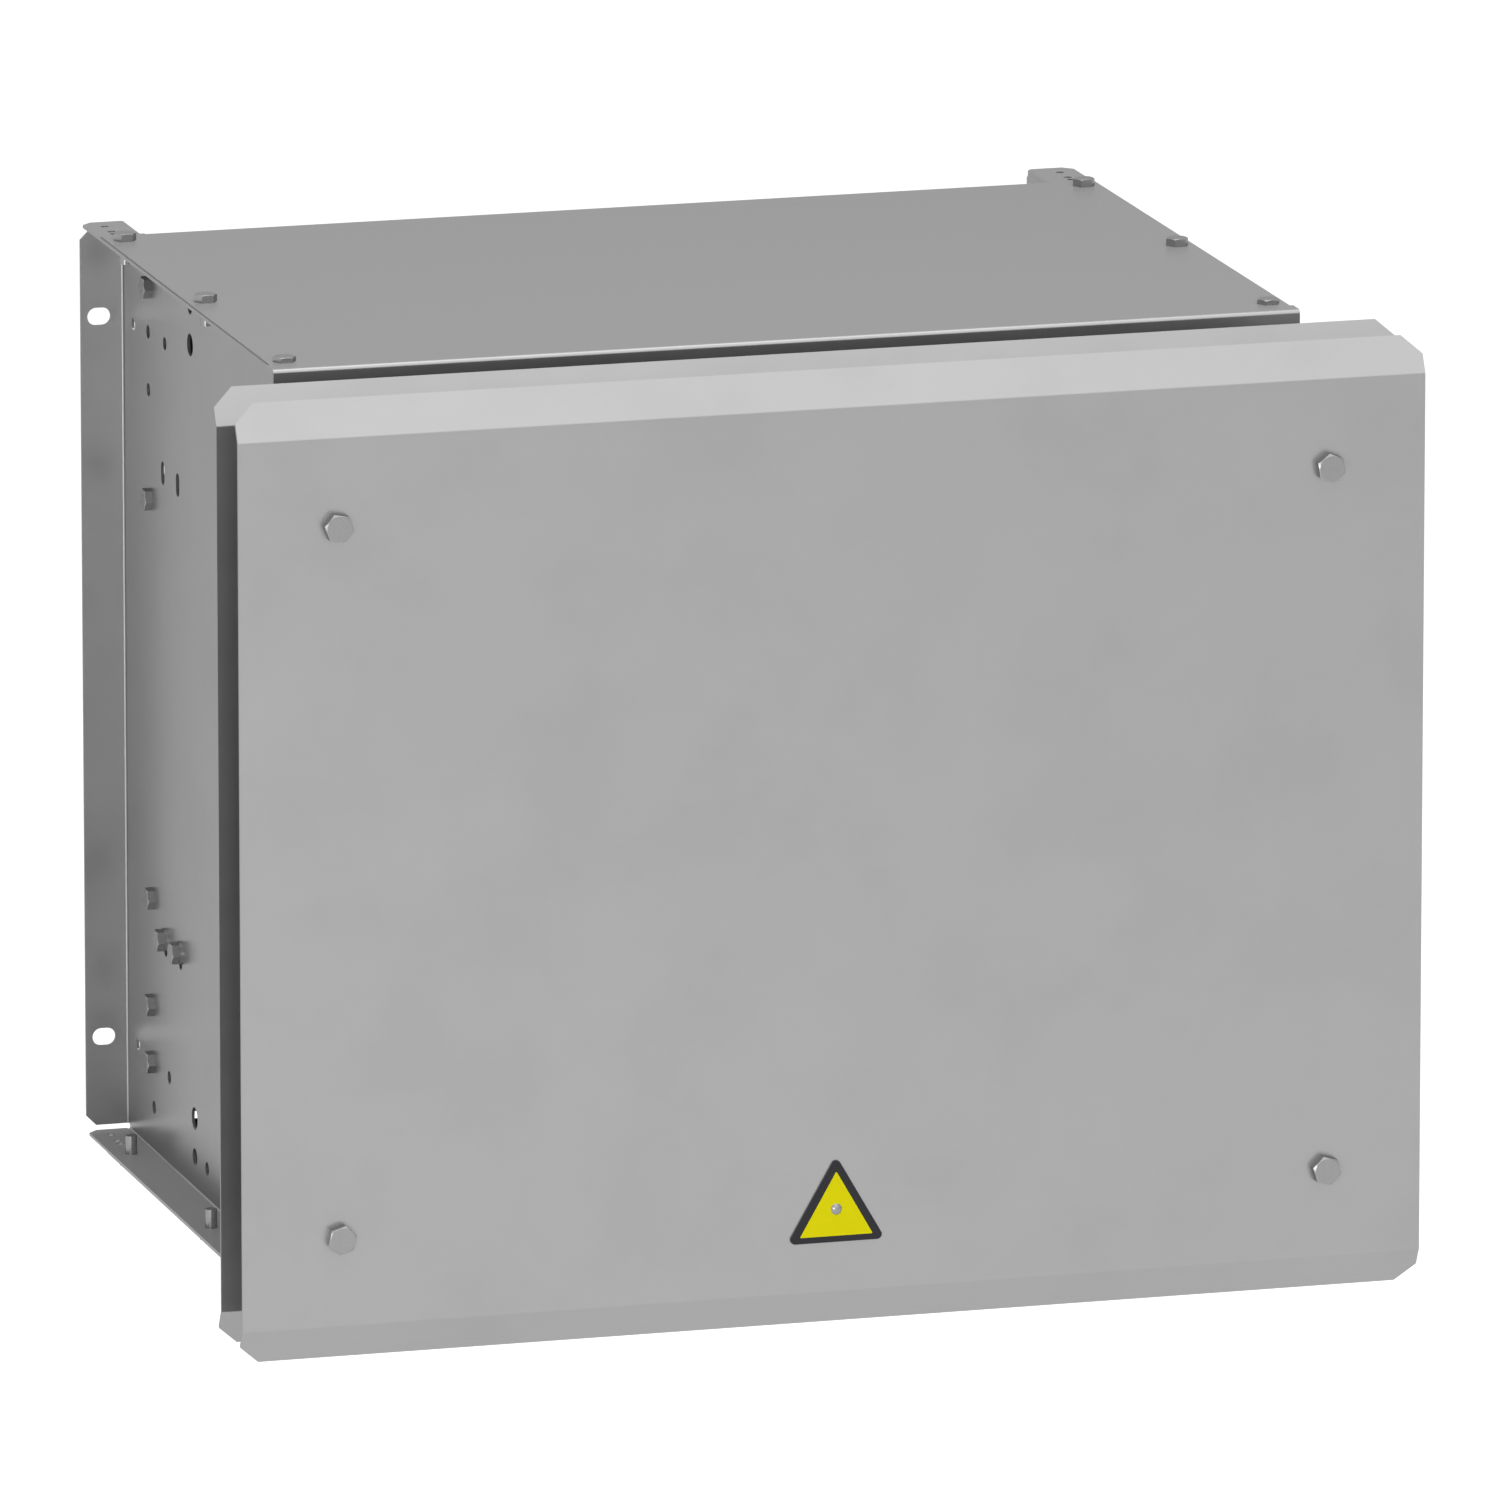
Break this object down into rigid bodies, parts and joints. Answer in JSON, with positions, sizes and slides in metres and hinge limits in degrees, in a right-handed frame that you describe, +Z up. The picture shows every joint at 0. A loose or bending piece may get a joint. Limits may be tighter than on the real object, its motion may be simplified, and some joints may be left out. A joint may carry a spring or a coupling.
{
  "type": "braking resistor",
  "caption": "Wall-mounted braking resistor: sheet-steel box on slotted rear flanges, resistor grid bank inside, two spaced heat shields in front.",
  "frame": {"origin": "in the wall plane, at the centre of the rectangle of four wall slots", "axes": "+Z up, +Y into the wall, +X to the right as seen from the front; the heat shields look to -Y"},
  "size_m": [0.6, 0.4677, 0.4808],
  "materials": {
    "galvanised_sheet": "satin",
    "shield_sheet": "satin",
    "zinc_steel": "satin",
    "grid_alloy": "matte",
    "strap_metal": "satin",
    "insulator_ceramic": "matte",
    "marker_yellow": "satin"
  },
  "bodies": {
    "root": {"left_side_panel": "galvanised_sheet", "right_side_panel": "galvanised_sheet", "roof_panel": "galvanised_sheet", "bottom_panel": "galvanised_sheet", "inner_front_panel": "galvanised_sheet", "rear_heat_shield": "shield_sheet", "front_heat_shield": "shield_sheet", "front_spacers": "zinc_steel", "rear_spacers": "zinc_steel", "shield_bolts": "zinc_steel", "shield_nuts": "zinc_steel", "roof_bolts": "zinc_steel", "roof_front_bolts": "zinc_steel", "bottom_bolts": "zinc_steel", "side_wall_bolts": "zinc_steel", "rail_bolts": "zinc_steel", "rail_washers": "zinc_steel", "upper_rear_rail": "galvanised_sheet", "lower_rear_rail": "galvanised_sheet", "rear_panel": "galvanised_sheet", "rear_element_rail": "galvanised_sheet", "front_element_rail": "galvanised_sheet", "post_insulators": "insulator_ceramic", "insulator_bolts": "zinc_steel", "bank_end_plates": "galvanised_sheet", "tie_rods": "zinc_steel", "tie_rod_nuts": "zinc_steel", "rod_tubes": "insulator_ceramic", "grid_spacers": "insulator_ceramic", "end_spacers": "insulator_ceramic", "resistor_grids": "grid_alloy", "grid_links": "grid_alloy", "left_bus_strap": "strap_metal", "right_bus_strap": "strap_metal", "terminal_block": "insulator_ceramic", "terminal_block_screws": "zinc_steel", "terminal_studs": "zinc_steel", "terminal_nuts": "zinc_steel", "earth_stud": "zinc_steel", "marker_plate": "marker_yellow", "marker_rivet": "zinc_steel"}
  },
  "joints": []
}
